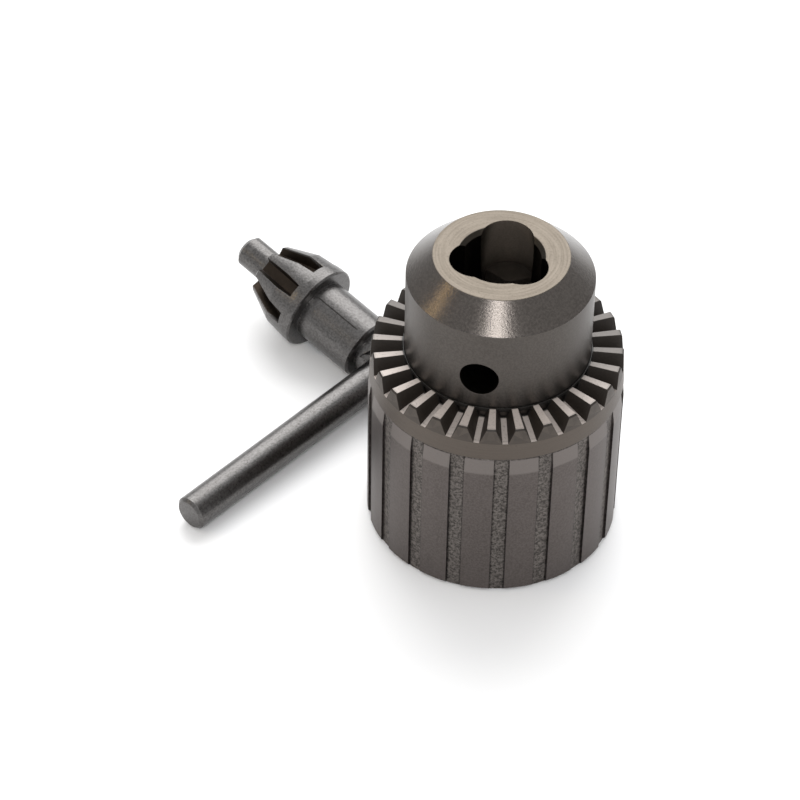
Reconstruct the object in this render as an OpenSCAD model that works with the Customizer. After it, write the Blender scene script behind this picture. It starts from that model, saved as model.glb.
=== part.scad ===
// Keyed drill chuck, 13 mm capacity, standing on its rear face with its key lying beside it.
// The origin is on the chuck's axis at its rear face, and +Z points out of the nose.

/* [Body] */
// Overall height, rear face to nose face
body_h = 56.5; // [55:0.5:58]
// Radius of the nose cylinder
nose_r = 15.55; // [15.5:0.01:15.6]
// Radius of the flat nose face
face_r = 11.25; // [10.5:0.25:12]
// Height of the cone between nose face and nose cylinder
cone_h = 4.25; // [3:0.25:5]
// Radius of the central bore
bore_r = 6.5; // [6.4:0.1:6.7]
// Radius of the countersink at the mouth of the bore
mouth_r = 7.2; // [7:0.1:7.6]
// Floor of the central bore, above the rear face
bore_floor_z = 17; // [16.5:0.25:18]
// Radius of the rear hub
hub_r = 10.8; // [10:0.1:11]
// Radius of the spindle thread's minor diameter
thread_r = 4.3; // [4.2:0.1:5]
// Depth of the spindle thread
thread_depth = 15; // [13:0.5:15.5]
// Radius of the hole for a spindle retaining screw
screw_hole_r = 2.8; // [2:0.1:3]

/* [Jaws] */
// Angle between a jaw's axis and the chuck's axis
jaw_angle = 13.5; // [13.5:0.5:13.5]
// Distance of a jaw's axis from the chuck's axis at the nose face
jaw_offset = 4.2; // [4.1:0.05:4.3]
// Radius of the jaw's round shank
jaw_r = 4.33; // [4.3:0.01:4.35]
// Radius of the jaw's guide hole
jaw_hole_r = 4.4; // [4.4:0.01:4.42]
// Height of the jaw tips with the chuck fully open
jaw_tip_z = 45.5; // [45:0.25:46]
// Height of the jaw tails with the chuck fully open
jaw_tail_z = 4.5; // [4:0.25:6]
// Height where the jaw's thread begins, with the chuck fully open
jaw_thread_top_z = 33; // [33:0.25:33.5]
// Distance of the gripping faces from the chuck's axis, fully open
grip_r = 6.35; // [6.2:0.05:6.4]
// Half width of the narrow land on a jaw's gripping edge
grip_land = 0.55; // [0.4:0.05:0.8]

/* [Thread] */
// Pitch of the jaw thread, along a jaw's axis
pitch = 2.5; // [2.5:0.1:2.5]
// Distance from a jaw's axis to its thread's root
jaw_root = 1.5; // [1.5:0.05:1.6]
// Distance from a jaw's axis to its thread's crest
jaw_crest = 2.6; // [2.5:0.05:2.6]
// Width of the nut's thread at its crest
nut_tooth_tip = 0.7; // [0.6:0.05:0.7]
// Width of the nut's thread at its root
nut_tooth_base = 1.1; // [1:0.05:1.1]
// Gap between the nut's thread and the jaws' threads
thread_gap = 0.2; // [0.18:0.01:0.2]

/* [Nut] */
// Outer radius of the split nut
nut_r = 19.05; // [19:0.05:19.1]
// Height of the nut's lower face
nut_z = 22.9; // [22.9:0.1:23]
// Height of the nut
nut_h = 9.7; // [9.6:0.1:9.7]
// Radius of the body's groove that the nut turns in
groove_r = 11.25; // [11:0.05:11.3]

/* [Sleeve] */
// Radius over the sleeve's ribs
sleeve_r = 21.5; // [21.4:0.1:21.6]
// Height of the sleeve's lower edge
sleeve_z = 0.2; // [0.1:0.1:0.5]
// Height of the ribs' upper ends
rib_top_z = 30.6; // [30:0.1:31]
// Number of ribs
rib_count = 18; // [16:1:20]
// Width of the grooves between the ribs
rib_gap = 2.5; // [2:0.1:3]
// Depth of the grooves between the ribs
rib_depth = 0.45; // [0.3:0.05:0.5]
// Angle of the first groove
rib_phase = -75.4; // [-80:0.1:-70]
// Radius of the plain band above the ribs
band_r = 21.35; // [21.2:0.05:21.45]
// Radius over the ring teeth
ring_r = 21; // [20.9:0.05:21.15]
// Number of ring teeth
ring_teeth = 28; // [28:1:28]
// Height of the ring teeth's flat tops
ring_top_z = 37; // [36.8:0.1:37.2]
// Angle of the first tooth
ring_phase = -80.7; // [-85:0.1:-75]
// Width of the floor between two ring teeth
ring_floor_w = 0.95; // [0.8:0.05:1.1]
// Height of the floor between two teeth at the ring's outside
ring_floor_z = 34.1; // [34:0.05:34.3]
// Slope of the floor between two teeth
ring_floor_slope = 10; // [8:0.5:12]

/* [Key holes] */
// Radius of the three key holes
key_hole_r = 3.25; // [3.2:0.05:3.3]
// Height of the key holes' axes
key_hole_z = 42.9; // [42.6:0.1:43.2]
// Depth of the key holes below the nose cylinder
key_hole_depth = 7.5; // [7:0.1:7.6]

/* [Key] */
// Radius of the pilot
pilot_r = 2.98; // [2.9:0.01:3.05]
// Length of the pilot
pilot_len = 6.5; // [6.4:0.1:6.6]
// Number of pinion teeth
pinion_teeth = 8; // [8:1:8]
// Angle of the first gap between the pinion's teeth
pinion_phase = -8.5; // [-12:0.5:-5]
// Tip radius at the pinion's small end
pinion_front_r = 5.3; // [5.2:0.05:5.5]
// Tip radius at the pinion's large end
pinion_back_r = 7.75; // [7.6:0.05:7.9]
// Length of the pinion's cone
pinion_len = 6.2; // [6:0.1:6.4]
// Length of the shallow cone between the pinion and the flange
tail_len = 4.4; // [4.3:0.1:4.5]
// Radius of the flange behind the pinion
flange_r = 8.15; // [8:0.05:8.3]
// Thickness of the flange
flange_t = 1.6; // [1.5:0.1:1.7]
// Radius of the shank
key_shank_r = 5.75; // [5.5:0.05:5.9]
// Distance from the pilot's end to the shank's end
key_shank_end = 31.2; // [31:0.1:31.4]
// Distance from the pilot's end to the handle's axis
handle_x = 36.3; // [36.2:0.1:36.6]
// Radius of the eye that holds the handle
eye_r = 4.6; // [4.5:0.1:4.7]
// Length of the eye
eye_len = 7; // [7:0.5:8]
// Radius of the handle
handle_r = 3.1; // [3:0.05:3.2]
// Length of the handle
handle_len = 91.8; // [90:0.1:92]
// Distance of the handle's middle from the eye's middle
handle_shift = 3.9; // [3.5:0.1:3.9]

/* [Key's resting place] */
// Place of the eye on the floor, along X
key_x = -24.1; // [-26:0.1:-24]
// Place of the eye on the floor, along Y
key_y = 24.3; // [24:0.1:25]
// Direction from the pilot to the handle
key_heading = -29.6; // [-30:0.1:-29]
// Angle by which the pilot points up
key_pitch = 10.6; // [10.5:0.01:10.6]
// Angle by which the handle leans
key_roll = 1.9; // [1.8:0.01:1.92]
// Height of the handle's axis in the eye
key_z = 4.77; // [4.77:0.01:4.8]

/* [Hidden] */
$fn = 96;
steel = [0.62, 0.61, 0.59];
dark_steel = [0.42, 0.41, 0.4];
JAW_AZIMUTHS = [90, 210, 330];
KEY_HOLE_AZIMUTHS = [30, 150, 270];
eps = 0.01;
reach = 100;
jaw_slope = tan(jaw_angle);
lead = pitch * cos(jaw_angle);
nut_top_z = nut_z + nut_h;
running_gap = 0.08;
axial_gap = 0.1;
cavity_r = 20;
flange_z = 12.5;
body_flange_r = cavity_r - running_gap;
edge = 0.5;

// Distance of a jaw's axis from the chuck's axis at height z
function jaw_axis_r(z) = jaw_offset + (body_h - z) * jaw_slope;

// Radius of a cone that stays the distance c outside the jaws' axes
function jaw_cone_r(z, c) = jaw_axis_r(z) + c / cos(jaw_angle);

// A jaw's own axis, from its place at the nose face down and outwards
module along_jaw() {
    translate([jaw_offset, 0, body_h]) rotate([0, 180 - jaw_angle, 0]) children();
}

module body_profile() {
    polygon([
        [0, 0], [hub_r - edge, 0], [hub_r, edge], [hub_r, flange_z],
        [body_flange_r - edge, flange_z], [body_flange_r, flange_z + edge],
        [body_flange_r, nut_z - axial_gap], [groove_r, nut_z - axial_gap],
        [groove_r, nut_top_z + axial_gap], [nose_r, nut_top_z + axial_gap],
        [nose_r, body_h - cone_h], [face_r, body_h], [0, body_h]
    ]);
}

module chuck_body() {
    mouth_h = mouth_r - bore_r;
    socket_edge = 0.6;
    color(steel) difference() {
        rotate_extrude() body_profile();
        translate([0, 0, bore_floor_z]) cylinder(r = bore_r, h = body_h);
        translate([0, 0, body_h - mouth_h])
            cylinder(r1 = bore_r, r2 = mouth_r + eps, h = mouth_h + eps);
        translate([0, 0, -eps]) cylinder(r = thread_r, h = thread_depth + eps);
        translate([0, 0, -eps])
            cylinder(r1 = thread_r + socket_edge + eps, r2 = thread_r, h = socket_edge + eps);
        translate([0, 0, thread_depth - eps]) cylinder(r = screw_hole_r, h = body_h);
        for (azimuth = JAW_AZIMUTHS)
            rotate(azimuth) along_jaw() translate([0, 0, -10]) cylinder(r = jaw_hole_r, h = 90);
        for (azimuth = KEY_HOLE_AZIMUTHS)
            rotate(azimuth) translate([nose_r - key_hole_depth, 0, key_hole_z])
                rotate([0, 90, 0]) cylinder(r = key_hole_r, h = nose_r);
    }
}

module sleeve_profile() {
    bore = nose_r + running_gap;
    rib_chamfer = 3;
    rib_chamfer_depth = 0.35;
    seam = 0.2;
    tooth_edge = 0.25;
    polygon([
        [cavity_r, sleeve_z], [sleeve_r - edge, sleeve_z], [sleeve_r, sleeve_z + edge],
        [sleeve_r, rib_top_z - rib_chamfer], [sleeve_r - rib_chamfer_depth, rib_top_z - seam],
        [band_r - seam * 2, rib_top_z], [band_r, rib_top_z + seam],
        [ring_r, ring_top_z - tooth_edge], [ring_r - tooth_edge, ring_top_z],
        [bore, ring_top_z], [bore, nut_top_z], [nut_r, nut_top_z], [nut_r, nut_z],
        [cavity_r, nut_z]
    ]);
}

// The space between two ring teeth, a trapezium carried outwards along a sloping floor
module ring_tooth_gap() {
    depth = 5;
    flank = 0.42;
    half = ring_floor_w / 2;
    inner = 9;
    translate([band_r, 0, ring_floor_z]) rotate([0, ring_floor_slope, 0])
        rotate([90, 0, -90]) translate([0, 0, -3]) linear_extrude(inner)
            polygon([[-half, 0], [half, 0], [half + depth * flank, depth], [-half - depth * flank, depth]]);
}

module geared_sleeve() {
    color(steel) difference() {
        rotate_extrude() sleeve_profile();
        for (i = [0 : rib_count - 1])
            rotate(rib_phase + i * 360 / rib_count)
                translate([sleeve_r - rib_depth, -rib_gap / 2, -1])
                    cube([5, rib_gap, rib_top_z + 1 - 0.05]);
        for (i = [0 : ring_teeth - 1])
            rotate(ring_phase + (i + 0.5) * 360 / ring_teeth) ring_tooth_gap();
    }
}

// Corners of the nut's thread groove at one angle, anticlockwise in the plane of r and z
function groove_corners(angle, inside, half_in, half_out) =
    let (z = nut_z - 2 * lead + lead / 2 + lead * angle / 360)
    let (r_in = jaw_cone_r(z, jaw_root) + thread_gap - inside)
    let (r_out = jaw_cone_r(z, jaw_crest) + thread_gap)
    [for (p = [[r_in, -half_in], [r_out, -half_out], [r_out, half_out], [r_in, half_in]])
        [p[0] * cos(angle), p[0] * sin(angle), z + p[1]]];

// The helical space that the jaws' threads run in
module nut_groove() {
    steps_per_turn = 40;
    turns = 8;
    rings = steps_per_turn * turns;
    inside = 0.6;
    half_out = (lead - nut_tooth_base) / 2;
    half_in = (lead - nut_tooth_tip) / 2 + inside * 0.18;
    points = [for (i = [0 : rings])
        each groove_corners((i + 0.3) * 360 / steps_per_turn, inside, half_in, half_out)];
    quads = [for (i = [0 : rings - 1], j = [0 : 3])
        [i * 4 + j, i * 4 + 4 + j, i * 4 + 4 + (j + 1) % 4, i * 4 + (j + 1) % 4]];
    sides = [for (q = quads) each [[q[0], q[2], q[1]], [q[0], q[3], q[2]]]];
    ends = [[3, 2, 1, 0], [rings * 4, rings * 4 + 1, rings * 4 + 2, rings * 4 + 3]];
    polyhedron(points, concat(sides, ends), convexity = 10);
}

// One half of the split nut, on the side that turn points at
module nut_half(turn) {
    split_gap = 0.06;
    facets = 80;
    turn_facets = 1.3;
    color(dark_steel) resize([0, 0, 0]) intersection() {
        difference() {
            rotate(turn_facets) translate([0, 0, nut_z]) cylinder(r = nut_r, h = nut_h, $fn = facets);
            rotate(turn_facets) translate([0, 0, nut_z - 1])
                cylinder(
                    r1 = jaw_cone_r(nut_z - 1, jaw_root) + thread_gap,
                    r2 = jaw_cone_r(nut_top_z + 1, jaw_root) + thread_gap,
                    h = nut_h + 2, $fn = facets);
            nut_groove();
        }
        rotate(turn) translate([-reach, split_gap / 2, 0]) cube([2 * reach, reach, reach]);
    }
}

module nut_half_a() {
    nut_half(0);
}

module nut_half_b() {
    nut_half(180);
}

// One thread groove across a jaw that points along +X, centred at height z
module jaw_thread_groove(z) {
    curve_r = 11.2;
    root_r = jaw_cone_r(z, jaw_root);
    half_root = nut_tooth_tip / 2 + thread_gap;
    half_mouth = nut_tooth_base / 2 + thread_gap + 0.1;
    depth = 1.6;
    translate([root_r - curve_r, 0, z]) rotate([0, 0, -60])
        rotate_extrude(angle = 120)
            polygon([
                [curve_r, -half_root], [curve_r + depth, -half_mouth],
                [curve_r + depth, half_mouth], [curve_r, half_root]
            ]);
}

// A jaw at the given azimuth; its thread's phase follows the nut's helix
module jaw(azimuth) {
    crest_curve_r = 12.2;
    phase = nut_z - 2 * lead + lead * azimuth / 360;
    wedge_run = 20;
    tip_edge = 0.6;
    color(steel) rotate(azimuth) difference() {
        intersection() {
            along_jaw() cylinder(r = jaw_r, h = 80);
            translate([-reach / 2, -reach / 2, jaw_tail_z])
                cube([reach, reach, jaw_tip_z - jaw_tail_z]);
            translate([0, 0, -1]) linear_extrude(reach)
                polygon([
                    [grip_r, -grip_land], [grip_r + wedge_run * tan(30), -grip_land - wedge_run],
                    [reach, -grip_land - wedge_run], [reach, grip_land + wedge_run],
                    [grip_r + wedge_run * tan(30), grip_land + wedge_run], [grip_r, grip_land]
                ]);
        }
        difference() {
            translate([0, -10, 0]) cube([40, 20, jaw_thread_top_z]);
            along_jaw() translate([crest_curve_r - jaw_crest, 0, -20])
                cylinder(r = crest_curve_r, h = 120);
        }
        for (k = [-10 : 10])
            if (phase + k * lead > jaw_tail_z - 1 && phase + k * lead < jaw_thread_top_z)
                jaw_thread_groove(phase + k * lead);
    }
}

module jaw_1() {
    jaw(JAW_AZIMUTHS[0]);
}

module jaw_2() {
    jaw(JAW_AZIMUTHS[1]);
}

module jaw_3() {
    jaw(JAW_AZIMUTHS[2]);
}

// The key's own frame: X from the pilot's end to the handle, origin on the handle's axis
module lay_key() {
    translate([key_x, key_y, key_z]) rotate([0, 0, key_heading]) rotate([0, key_pitch, 0])
        rotate([key_roll, 0, 0]) children();
}

// The space between two pinion teeth, carried along a sloping floor
module pinion_gap() {
    front_floor_r = 3.16;
    floor_slope = 19;
    half = 0.95;
    depth = 5;
    flank = 0.35;
    run = 11.6;
    translate([-1, 0, front_floor_r]) rotate([0, -floor_slope, 0]) rotate([90, 0, 90])
        linear_extrude(run)
            polygon([[-half, 0], [half, 0], [half + depth * flank, depth], [-half - depth * flank, depth]]);
}

module key_shank() {
    tail_x = pilot_len + pinion_len;
    rim_x = tail_x + tail_len;
    flange_end = rim_x + flange_t;
    pilot_edge = 0.7;
    front_edge = 0.3;
    rim_edge = 0.3;
    shank_edge = 0.4;
    neck_r = 3.9;
    color(steel) lay_key() difference() {
        union() {
            translate([-handle_x, 0, 0]) rotate([0, 90, 0]) rotate_extrude()
                polygon([
                    [0, 0], [pilot_r - pilot_edge, 0], [pilot_r, pilot_edge], [pilot_r, pilot_len],
                    [pinion_front_r - front_edge, pilot_len], [pinion_front_r, pilot_len + front_edge],
                    [pinion_back_r, tail_x], [flange_r, rim_x], [flange_r, flange_end - rim_edge],
                    [flange_r - rim_edge, flange_end], [key_shank_r, flange_end],
                    [key_shank_r, key_shank_end - shank_edge],
                    [key_shank_r - shank_edge, key_shank_end], [neck_r, key_shank_end],
                    [neck_r, handle_x], [0, handle_x]
                ]);
            rotate([90, 0, 0]) translate([0, 0, -eye_len / 2]) cylinder(r = eye_r, h = eye_len);
        }
        for (i = [0 : pinion_teeth - 1])
            translate([pilot_len - handle_x, 0, 0]) rotate([pinion_phase + i * 360 / pinion_teeth, 0, 0])
                pinion_gap();
        rotate([90, 0, 0]) translate([0, 0, -eye_len]) cylinder(r = handle_r, h = 2 * eye_len);
    }
}

module key_handle() {
    end_edge = 0.5;
    half = handle_len / 2;
    color(steel) lay_key() rotate([90, 0, 0]) translate([0, 0, handle_shift]) rotate_extrude()
        polygon([
            [0, -half], [handle_r - end_edge, -half], [handle_r, end_edge - half],
            [handle_r, half - end_edge], [handle_r - end_edge, half], [0, half]
        ]);
}

chuck_body();
geared_sleeve();
nut_half_a();
nut_half_b();
jaw_1();
jaw_2();
jaw_3();
key_shank();
key_handle();
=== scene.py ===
import bpy
import math
from mathutils import Matrix, Vector

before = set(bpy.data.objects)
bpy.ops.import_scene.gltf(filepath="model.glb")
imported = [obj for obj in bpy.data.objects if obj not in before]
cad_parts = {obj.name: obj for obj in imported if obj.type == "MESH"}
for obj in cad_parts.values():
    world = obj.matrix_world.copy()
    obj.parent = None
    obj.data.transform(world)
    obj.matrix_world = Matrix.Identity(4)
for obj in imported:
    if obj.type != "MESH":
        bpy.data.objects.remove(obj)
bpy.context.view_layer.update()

MM = 0.001

# ---------------------------------------------------------------- sizes in mm, angles in degrees

FACE_Z = 56.5
CONE_Z = 52.25
NOSE_R = 15.55
RIB_TOP_Z = 30.6
RIB_R = 21.5
RIB_COUNT = 18
RIB_PHASE = -75.4
RIB_GAP = 2.5
BAND_TOP_Z = 34.0
KEY_EYE = Vector((-24.1, 24.3, 4.77))
KEY_HEADING = -29.6
KEY_PITCH = 10.6
KEY_ROLL = 1.9
KEY_PINION_X = -29.8
KEY_CONE_END_X = -23.6
PINION_FRONT_R = 5.3
PINION_BACK_R = 7.75
SEAM_ANGLE = 109

# ---------------------------------------------------------------- camera

CAMERA_PLACE = Vector((72.6, -395.5, 400.1)) * MM
CAMERA_AIM = Vector((-14.7, -7.9, 28.0)) * MM
CAMERA_ROLL = math.radians(1.0)
CAMERA_LENS = 146.6
SENSOR_WIDTH = 36.0
CLIP_NEAR = 0.01
CLIP_FAR = 20.0


def make_camera():
    data = bpy.data.cameras.new("camera")
    camera = bpy.data.objects.new("camera", data)
    bpy.context.scene.collection.objects.link(camera)
    data.lens = CAMERA_LENS
    data.sensor_width = SENSOR_WIDTH
    data.clip_start = CLIP_NEAR
    data.clip_end = CLIP_FAR
    turn = (CAMERA_AIM - CAMERA_PLACE).to_track_quat("-Z", "Y").to_matrix().to_4x4()
    roll = Matrix.Rotation(CAMERA_ROLL, 4, "Z")
    camera.matrix_world = Matrix.Translation(CAMERA_PLACE) @ turn @ roll
    bpy.context.scene.camera = camera


# ---------------------------------------------------------------- node graphs

class Graph:
    """Short calls that build one material. A value is a number, a tuple or a node's socket."""

    def __init__(self, name):
        self.material = bpy.data.materials.new(name)
        self.material.use_nodes = True
        self.tree = self.material.node_tree
        self.shader = self.tree.nodes["Principled BSDF"]

    def put(self, socket, value):
        if isinstance(value, bpy.types.NodeSocket):
            self.tree.links.new(value, socket)
        elif isinstance(value, tuple) and socket.type == "RGBA":
            socket.default_value = (*value, 1)
        else:
            socket.default_value = value

    def node(self, kind, *values, **settings):
        made = self.tree.nodes.new(kind)
        for key, value in settings.items():
            setattr(made, key, value)
        for socket, value in zip(made.inputs, values):
            if value is not None:
                self.put(socket, value)
        return made

    def math(self, operation, a, b=0.0):
        return self.node("ShaderNodeMath", a, b, operation=operation).outputs[0]

    def fade(self, value, low, high):
        """0 at low and 1 at high, smooth between them; low may be above high."""
        made = self.node("ShaderNodeMapRange", interpolation_type="SMOOTHSTEP")
        self.put(made.inputs["Value"], value)
        self.put(made.inputs["From Min"], low)
        self.put(made.inputs["From Max"], high)
        return made.outputs["Result"]

    def range(self, value, low, high):
        """A value from 0 to 1 spread from low to high."""
        made = self.node("ShaderNodeMapRange")
        self.put(made.inputs["Value"], value)
        self.put(made.inputs["To Min"], low)
        self.put(made.inputs["To Max"], high)
        return made.outputs["Result"]

    def both(self, a, b):
        return self.math("MULTIPLY", a, b)

    def mix(self, factor, a, b):
        made = self.node("ShaderNodeMix", data_type="RGBA")
        self.put(made.inputs["Factor"], factor)
        self.put(made.inputs["A"], a)
        self.put(made.inputs["B"], b)
        return made.outputs["Result"]

    def blend(self, factor, a, b):
        made = self.node("ShaderNodeMix", data_type="FLOAT")
        self.put(made.inputs[0], factor)
        self.put(made.inputs[2], a)
        self.put(made.inputs[3], b)
        return made.outputs[0]

    def vector(self, x, y, z):
        return self.node("ShaderNodeCombineXYZ", x, y, z).outputs[0]

    def split(self, vector):
        return self.node("ShaderNodeSeparateXYZ", vector).outputs

    def dot(self, vector, axis):
        made = self.node("ShaderNodeVectorMath", vector, tuple(axis), operation="DOT_PRODUCT")
        return made.outputs["Value"]

    def noise(self, vector, scale=1.0, detail=2.0, roughness=0.5):
        made = self.node("ShaderNodeTexNoise")
        self.put(made.inputs["Vector"], vector)
        made.inputs["Scale"].default_value = scale
        made.inputs["Detail"].default_value = detail
        made.inputs["Roughness"].default_value = roughness
        return made.outputs["Fac"]

    def place_mm(self):
        """The point on the piece, in mm from the frame's origin."""
        place = self.node("ShaderNodeTexCoord").outputs["Object"]
        made = self.node("ShaderNodeVectorMath", place, operation="SCALE")
        made.inputs["Scale"].default_value = 1.0 / MM
        return made.outputs[0]

    def facing_up(self):
        return self.split(self.node("ShaderNodeNewGeometry").outputs["True Normal"])[2]

    def polar(self, x, y):
        radius = self.math("SQRT", self.math("ADD", self.both(x, x), self.both(y, y)))
        return radius, self.math("ARCTAN2", y, x)

    def bump(self, height, distance, strength=1.0, normal=None):
        made = self.node("ShaderNodeBump")
        self.put(made.inputs["Height"], height)
        made.inputs["Distance"].default_value = distance * MM
        made.inputs["Strength"].default_value = strength
        if normal is not None:
            self.put(made.inputs["Normal"], normal)
        return made.outputs["Normal"]

    def soft_edges(self, radius):
        """The normal with sharp edges rounded off, so that they catch a thin line of light."""
        made = self.node("ShaderNodeBevel", samples=4)
        made.inputs["Radius"].default_value = radius * MM
        return made.outputs["Normal"]

    def finish(self, color, roughness, normal, metallic=1.0):
        self.put(self.shader.inputs["Base Color"], color)
        self.put(self.shader.inputs["Roughness"], roughness)
        self.put(self.shader.inputs["Metallic"], metallic)
        self.put(self.shader.inputs["Normal"], normal)
        return self.material


def plain_material(name, color, roughness):
    material = bpy.data.materials.new(name)
    material.use_nodes = True
    shader = material.node_tree.nodes["Principled BSDF"]
    shader.inputs["Base Color"].default_value = (*color, 1)
    shader.inputs["Roughness"].default_value = roughness
    return material


# ---------------------------------------------------------------- finishes

def body_steel():
    """Turned and tumbled steel; the flat face keeps its tool rings; the bore is oily and painted
    dark as shade, with a painted lighter patch where light falls on the back wall of a jaw hole;
    the nose is painted darker towards its bottom as shade.
    """
    g = Graph("body_steel")
    place = g.place_mm()
    x, y, z = g.split(place)
    radius, angle = g.polar(x, y)
    shell_r = g.math("SUBTRACT", NOSE_R - 0.1,
                     g.math("MAXIMUM", 0.0, g.math("SUBTRACT", z, CONE_Z)))
    inside = g.both(g.fade(g.math("SUBTRACT", radius, shell_r), 0.0, -0.1),
                    g.fade(z, FACE_Z - 0.03, FACE_Z - 0.1))
    face = g.fade(z, FACE_Z - 0.06, FACE_Z - 0.01)
    along_turning = g.vector(g.both(radius, 2.6), g.both(z, 2.6), g.both(angle, 0.8))
    turned = g.noise(along_turning, 1.0, 3.0, 0.7)
    grain = g.noise(place, 2.8, 3.0, 0.7)
    cloud = g.noise(place, 0.22, 3.0, 0.55)
    speck = g.fade(g.noise(place, 2.3, 2.0, 0.6), 0.70, 0.78)
    low = g.fade(z, 44.0, 35.5)
    cone = g.both(g.fade(z, CONE_Z - 0.1, CONE_Z + 0.1),
                  g.fade(z, FACE_Z - 0.05, FACE_Z - 0.1))
    grey = g.mix(cloud, (0.066, 0.059, 0.053), (0.094, 0.084, 0.077))
    beige = g.mix(g.fade(turned, 0.3, 0.7), (0.102, 0.087, 0.070), (0.137, 0.118, 0.097))
    worn = g.both(g.fade(grain, 0.35, 0.65), g.blend(cone, 0.45, 0.8))
    grey = g.mix(worn, grey, (0.122, 0.109, 0.099))
    beige = g.mix(g.both(g.fade(grain, 0.5, 0.7), 0.4), beige, (0.073, 0.062, 0.048))
    outer = g.mix(face, grey, beige)
    outer = g.mix(g.both(speck, 0.45), outer, (0.039, 0.033, 0.029))
    # Painted shade: the nose is darkened towards its bottom, by the teeth, in cloudy patches.
    low_nose_shade = g.both(g.both(low, g.fade(cloud, 0.35, 0.75)), 0.4)
    outer = g.mix(low_nose_shade, outer, (0.035, 0.031, 0.028))
    # The bore is painted near black: oil, and painted shade deep inside.
    oil = g.mix(g.noise(place, 0.8, 3.0), (0.017, 0.015, 0.012), (0.046, 0.039, 0.031))
    # Painted light: the back wall of the jaw hole near its mouth, where light falls in, is painted
    # a lighter brown.
    lit_wall = g.both(g.fade(y, 5.0, 8.5), g.fade(z, 40.0, 51.0))
    oil = g.mix(lit_wall, oil, g.mix(grain, (0.100, 0.082, 0.066), (0.262, 0.219, 0.181)))
    color = g.mix(inside, outer, oil)
    mottle = g.math("ADD", g.both(grain, 0.5), g.both(cloud, 0.5))
    roughness = g.blend(cone, g.range(mottle, 0.30, 0.50), g.range(grain, 0.17, 0.30))
    roughness = g.blend(inside, roughness, g.range(grain, 0.25, 0.5))
    rings = g.bump(turned, 0.012, 0.5, g.soft_edges(0.16))
    normal = g.bump(grain, 0.05, 0.5, rings)
    metallic = g.range(g.both(inside, lit_wall), 1.0, 0.35)
    return g.finish(color, roughness, normal, metallic)


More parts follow.
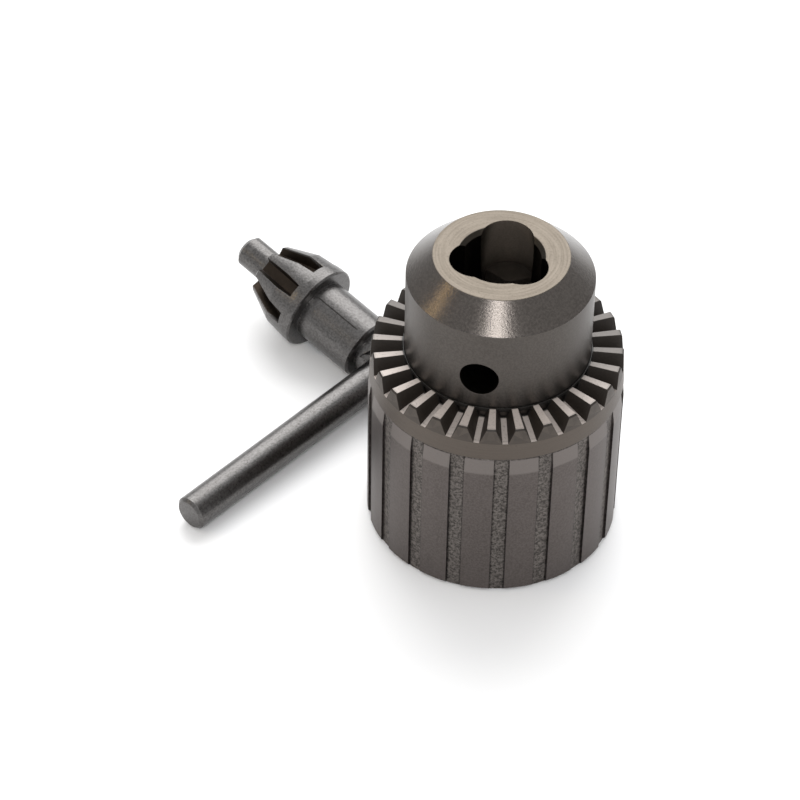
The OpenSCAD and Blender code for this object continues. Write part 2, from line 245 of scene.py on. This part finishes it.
def sleeve_steel():
    """Satin ribs with painted highlights on their upper ends, granular grooves, a smooth turned
    band with a painted shadow line where the ribs meet it, teeth with bright tops painted lighter
    on the near side, brown flanks, and painted shade where the teeth sit by the nose.
    """
    g = Graph("sleeve_steel")
    place = g.place_mm()
    x, y, z = g.split(place)
    radius, angle = g.polar(x, y)
    up = g.facing_up()
    pitch = 360 / RIB_COUNT
    turn = g.math("DIVIDE", g.math("SUBTRACT", g.math("DEGREES", angle), RIB_PHASE), pitch)
    share = g.math("SUBTRACT", g.math("FRACT", g.math("ADD", turn, 0.5)), 0.5)
    from_centre = g.both(g.math("ABSOLUTE", share), 2 * math.pi * RIB_R / RIB_COUNT)
    ribs = g.fade(z, RIB_TOP_Z + 0.1, RIB_TOP_Z - 0.1)
    groove = g.both(ribs, g.fade(from_centre, RIB_GAP / 2 + 0.02, RIB_GAP / 2 - 0.05))
    edge_distance = g.math("ABSOLUTE", g.math("SUBTRACT", from_centre, RIB_GAP / 2 - 0.08))
    groove_edge = g.both(ribs, g.fade(edge_distance, 0.22, 0.04))
    outside = g.fade(radius, 20.4, 20.8)
    teeth = g.fade(z, BAND_TOP_Z, BAND_TOP_Z + 0.1)
    facing = g.fade(up, 0.93, 0.98)
    tilted = g.fade(g.math("ABSOLUTE", up), 0.02, 0.1)
    flank = g.both(g.both(teeth, g.math("SUBTRACT", 1.0, facing)), tilted)
    grain = g.noise(place, 2.8, 3.0, 0.7)
    coarse = g.noise(place, 2.0, 3.0, 0.75)
    cloud = g.noise(place, 0.2, 3.0, 0.5)
    turned = g.noise(g.vector(g.both(radius, 3.0), g.both(z, 12.0), angle), 1.0, 2.0, 0.6)
    speck = g.fade(g.noise(place, 3.0, 2.0, 0.6), 0.70, 0.76)
    rib = g.mix(cloud, (0.083, 0.071, 0.066), (0.106, 0.092, 0.086))
    rib = g.mix(g.both(g.fade(grain, 0.35, 0.65), 0.75), rib, (0.132, 0.115, 0.109))
    # Painted highlight: the upper ends of the ribs, which tilt up a little, are painted lighter.
    shoulder_highlight = g.both(ribs, g.fade(z, 27.2, 27.7))
    rib = g.mix(g.both(shoulder_highlight, 0.7), rib, (0.185, 0.166, 0.156))
    groove_color = g.mix(g.fade(coarse, 0.35, 0.65),
                         (0.058, 0.052, 0.048), (0.193, 0.173, 0.160))
    band = g.mix(turned, (0.095, 0.080, 0.069), (0.120, 0.102, 0.088))
    color = g.mix(groove, rib, groove_color)
    broken = g.fade(coarse, 0.35, 0.6)
    color = g.mix(g.both(groove_edge, g.range(broken, 0.9, 0.45)), color, (0.017, 0.015, 0.014))
    color = g.mix(ribs, band, color)
    # Painted shadow: a dark broken line in the crease where the rib tops meet the band.
    seam_distance = g.math("ABSOLUTE", g.math("SUBTRACT", z, RIB_TOP_Z - 0.05))
    seam = g.both(g.fade(seam_distance, 0.34, 0.06), g.range(broken, 0.85, 0.3))
    color = g.mix(seam, color, (0.023, 0.020, 0.018))
    # Painted light: the tooth tops are painted lighter on the near side (towards -y) than at the
    # sides.
    lit_front = g.fade(y, 4.0, -14.0)
    land_color = g.mix(lit_front, (0.120, 0.106, 0.096), (0.500, 0.440, 0.400))
    pitted = g.both(g.fade(grain, 0.55, 0.72), 0.5)
    land_color = g.mix(pitted, land_color, (0.092, 0.079, 0.069))
    # The tooth flanks, and the teeth's faces that do not face up, are painted a very dark brown.
    dark_flank_tone = g.mix(coarse, (0.010, 0.007, 0.005), (0.028, 0.020, 0.014))
    color = g.mix(g.both(teeth, facing), color, land_color)
    color = g.mix(flank, color, dark_flank_tone)
    color = g.mix(g.both(speck, 0.4), color, (0.031, 0.027, 0.023))
    color = g.mix(outside, (0.031, 0.027, 0.023), color)
    color = g.mix(g.both(teeth, g.math("SUBTRACT", 1.0, outside)), color,
                  g.mix(facing, dark_flank_tone, land_color))
    roughness = g.blend(groove, g.range(grain, 0.36, 0.52), g.range(coarse, 0.45, 0.7))
    roughness = g.blend(flank, roughness, 0.55)
    # Painted shade: the teeth close to the nose, in the narrow space between sleeve and nose, are
    # painted near black.
    nose_gap_shade = g.both(teeth, g.fade(radius, 16.1, 15.8))
    color = g.mix(nose_gap_shade, color, (0.015, 0.013, 0.011))
    metallic = g.range(g.both(teeth, tilted), 1.0, 0.2)
    fine = g.bump(grain, 0.045, 0.5, g.soft_edges(0.14))
    normal = g.bump(g.both(coarse, groove), 0.12, 0.8, fine)
    return g.finish(color, roughness, normal, metallic)


def jaw_steel():
    """Ground hardened steel, browned by oil."""
    g = Graph("jaw_steel")
    place = g.place_mm()
    grain = g.noise(place, 4.0, 4.0, 0.65)
    cloud = g.noise(place, 0.5, 3.0, 0.6)
    x, y, z = g.split(place)
    lines = g.noise(g.vector(x, y, g.both(z, 14.0)), 1.0, 2.0)
    color = g.mix(cloud, (0.034, 0.028, 0.023), (0.085, 0.071, 0.058))
    color = g.mix(g.fade(grain, 0.62, 0.74), color, (0.200, 0.172, 0.140))
    normal = g.bump(lines, 0.01, 0.4, g.bump(grain, 0.02, 0.5))
    return g.finish(color, g.range(cloud, 0.26, 0.46), normal, 0.6)


def nut_steel():
    """Dark greased steel."""
    g = Graph("nut_steel")
    place = g.place_mm()
    grain = g.noise(place, 3.0, 4.0, 0.6)
    cloud = g.noise(place, 0.4, 2.0)
    color = g.mix(cloud, (0.023, 0.020, 0.017), (0.062, 0.052, 0.045))
    return g.finish(color, g.range(grain, 0.25, 0.5), g.bump(grain, 0.02, 0.6))


def key_axes():
    """The key's own axes in the frame: X from the pilot to the handle, Y along the handle."""
    turn = (Matrix.Rotation(math.radians(KEY_HEADING), 3, "Z")
            @ Matrix.Rotation(math.radians(KEY_PITCH), 3, "Y")
            @ Matrix.Rotation(math.radians(KEY_ROLL), 3, "X"))
    return [turn.col[i] for i in range(3)]


def key_steel(name, along_handle):
    """Satin grey plating with lengthwise lines and pits; the pinion's gaps are oily and painted
    dark as shade that deepens with depth.
    """
    g = Graph(name)
    place = g.place_mm()
    from_eye = g.node("ShaderNodeVectorMath", place, tuple(KEY_EYE),
                      operation="SUBTRACT").outputs[0]
    x, y, z = [g.dot(from_eye, axis) for axis in key_axes()]
    grain = g.noise(place, 2.6, 3.0, 0.7)
    cloud = g.noise(place, 0.3, 3.0, 0.55)
    speck = g.fade(g.noise(place, 1.9, 2.0, 0.55), 0.70, 0.76)
    stretch = (5.0, 0.35, 5.0) if along_handle else (0.5, 4.0, 4.0)
    stretched = [g.both(part, factor) for part, factor in zip((x, y, z), stretch)]
    lines = g.noise(g.vector(*stretched), 1.0, 3.0, 0.6)
    color = g.mix(cloud, (0.075, 0.072, 0.069), (0.104, 0.099, 0.097))
    color = g.mix(g.fade(grain, 0.35, 0.65), color, (0.142, 0.137, 0.134))
    color = g.mix(g.both(g.fade(lines, 0.45, 0.75), 0.3), color, (0.054, 0.050, 0.046))
    color = g.mix(g.both(speck, 0.5), color, (0.039, 0.032, 0.028))
    roughness = g.range(grain, 0.22, 0.38)
    if not along_handle:
        radius, angle = g.polar(y, z)
        run = g.math("DIVIDE", g.math("SUBTRACT", x, KEY_PINION_X),
                     KEY_CONE_END_X - KEY_PINION_X)
        skin = g.math("MINIMUM", g.range(run, PINION_FRONT_R, PINION_BACK_R),
                      PINION_BACK_R + 0.15)
        depth = g.math("SUBTRACT", skin, radius)
        zone = g.both(g.fade(x, KEY_PINION_X + 0.02, KEY_PINION_X + 0.12),
                      g.fade(x, KEY_CONE_END_X + 4.6, KEY_CONE_END_X + 4.3))
        # Painted shade: the spaces between the pinion's teeth darken with depth below the teeth's
        # tips, in an oily brown.
        oily_gap_shade = g.both(zone, g.fade(depth, 0.12, 0.5))
        color = g.mix(oily_gap_shade, color, g.mix(cloud, (0.011, 0.009, 0.008), (0.046, 0.035, 0.026)))
        roughness = g.blend(oily_gap_shade, roughness, 0.4)
        seam_distance = g.math("ABSOLUTE", g.math("SUBTRACT", angle, math.radians(SEAM_ANGLE)))
        seam_run = g.both(g.fade(x, -17.0, -16.4), g.fade(x, -7.0, -7.6))
        seam = g.both(g.fade(seam_distance, 0.03, 0.012), seam_run)
        color = g.mix(g.both(seam, 0.8), color, (0.023, 0.021, 0.019))
    normal = g.bump(lines, 0.02, 0.35, g.bump(grain, 0.05, 0.5, g.soft_edges(0.16)))
    return g.finish(color, roughness, normal)


# ---------------------------------------------------------------- studio

FLOOR_REACH = 3.0
WORLD_COLOR = (0.985, 0.99, 1.0)
WORLD_STRENGTH = 0.84


def make_floor():
    size = FLOOR_REACH
    mesh = bpy.data.meshes.new("floor")
    corners = [(-size, -size, 0), (size, -size, 0), (size, size, 0), (-size, size, 0)]
    mesh.from_pydata(corners, [], [(0, 1, 2, 3)])
    floor = bpy.data.objects.new("floor", mesh)
    bpy.context.scene.collection.objects.link(floor)
    floor.data.materials.append(plain_material("floor_white", (0.9, 0.9, 0.9), 0.6))


def area_light(name, place, aim, size, power, color=(1, 1, 1)):
    data = bpy.data.lights.new(name, "AREA")
    data.shape = "RECTANGLE"
    data.size, data.size_y = size
    data.energy = power
    data.color = color
    light = bpy.data.objects.new(name, data)
    bpy.context.scene.collection.objects.link(light)
    place = Vector(place)
    light.matrix_world = Matrix.Translation(place) @ (
        (Vector(aim) - place).to_track_quat("-Z", "Y").to_matrix().to_4x4())


def make_lights():
    world = bpy.data.worlds.new("studio")
    bpy.context.scene.world = world
    world.use_nodes = True
    background = world.node_tree.nodes["Background"]
    background.inputs["Color"].default_value = (*WORLD_COLOR, 1)
    background.inputs["Strength"].default_value = WORLD_STRENGTH
    area_light("back_softbox", (-0.13, 0.66, 0.67), (0, 0, 0.03), (0.9, 0.85), 8.65)
    area_light("camera_softbox", (0.10, -0.68, 0.78), (0, 0, 0.045), (0.24, 0.22), 2.5)
    area_light("warm_card", (-0.50, -0.14, 0.34), (0, 0, 0.052), (0.05, 0.13), 0.143,
               (1.0, 0.72, 0.35))


# ---------------------------------------------------------------- the scene

def dress_nodes():
    nut = nut_steel()
    jaw = jaw_steel()
    finishes = {
        "chuck_body": body_steel(),
        "geared_sleeve": sleeve_steel(),
        "nut_half_a": nut,
        "nut_half_b": nut,
        "jaw_1": jaw,
        "jaw_2": jaw,
        "jaw_3": jaw,
        "key_shank": key_steel("key_steel", False),
        "key_handle": key_steel("handle_steel", True),
    }
    for name, finish in finishes.items():
        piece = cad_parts[name]
        piece.data.materials.clear()
        piece.data.materials.append(finish)


bpy.context.scene.view_settings.view_transform = "Standard"
make_camera()
make_floor()
make_lights()
dress_nodes()
